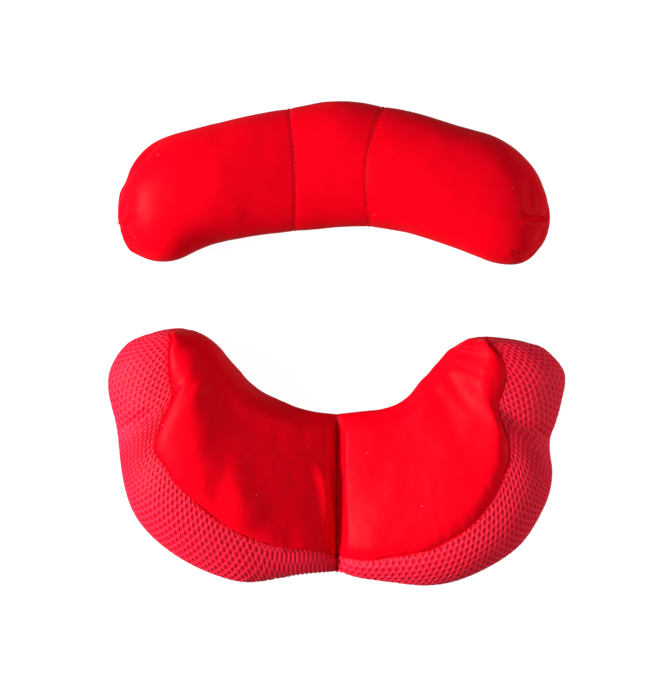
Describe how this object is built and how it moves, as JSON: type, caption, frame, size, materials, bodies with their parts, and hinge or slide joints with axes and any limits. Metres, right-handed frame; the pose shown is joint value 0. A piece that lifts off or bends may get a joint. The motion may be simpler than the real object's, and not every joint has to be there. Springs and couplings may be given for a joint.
{
  "type": "face guard liner pad set",
  "caption": "Soft liner pads for a padded face guard: an arched brow roll and a cupped chin and cheek pad with mesh sides and a centre crease, held by hook tape.",
  "frame": {"origin": "middle of the set's footprint, on the plane that the hook tape lies on", "axes": "+Z out of the padded face towards the wearer, +Y from the chin pad to the brow pad, +X to the right as the pads are seen face up"},
  "size_m": [0.201, 0.2128, 0.0355],
  "materials": {
    "cover_tricot": "satin stretch tricot",
    "spacer_mesh": "matte open spacer mesh",
    "seam_thread": "overlocked polyester thread",
    "back_fabric": "matte brushed loop knit",
    "binding": "matte stitched binding",
    "hook_tape": "moulded hook tape",
    "foam": "open cell foam"
  },
  "bodies": {
    "chin_left": {"chin_foam_left": "foam", "chin_front_panel_left": "cover_tricot", "chin_ridge_seam_left": "seam_thread", "chin_mesh_gusset_left": "spacer_mesh", "chin_back_panel_left": "back_fabric", "chin_back_seam_left": "binding", "chin_hook_patch_left_lower": "hook_tape", "chin_hook_patch_left_upper": "hook_tape", "chin_centre_seam": "seam_thread"},
    "chin_right": {"chin_foam_right": "foam", "chin_front_panel_right": "cover_tricot", "chin_ridge_seam_right": "seam_thread", "chin_mesh_gusset_right": "spacer_mesh", "chin_back_panel_right": "back_fabric", "chin_back_seam_right": "binding", "chin_hook_patch_right_lower": "hook_tape", "chin_hook_patch_right_upper": "hook_tape"},
    "brow_pad": {"brow_foam_core": "foam", "brow_cover_left": "cover_tricot", "brow_cover_centre": "cover_tricot", "brow_cover_right": "cover_tricot", "brow_seam_left": "seam_thread", "brow_seam_right": "seam_thread", "brow_end_tack_left": "seam_thread", "brow_end_tack_right": "seam_thread", "brow_hook_patch_left": "hook_tape", "brow_hook_patch_right": "hook_tape"}
  },
  "joints": [
    {"name": "chin_centre_fold", "type": "hinge", "parent": "chin_left", "child": "chin_right", "pos_m": [0, -0.066, 0.002], "axis": [0, -1, 0], "range_deg": [0, 30]},
    {"name": "brow_pad_position", "type": "slide", "parent": "chin_left", "child": "brow_pad", "axis": [0, 1, 0], "range_m": [-0.02, 0.02]}
  ]
}
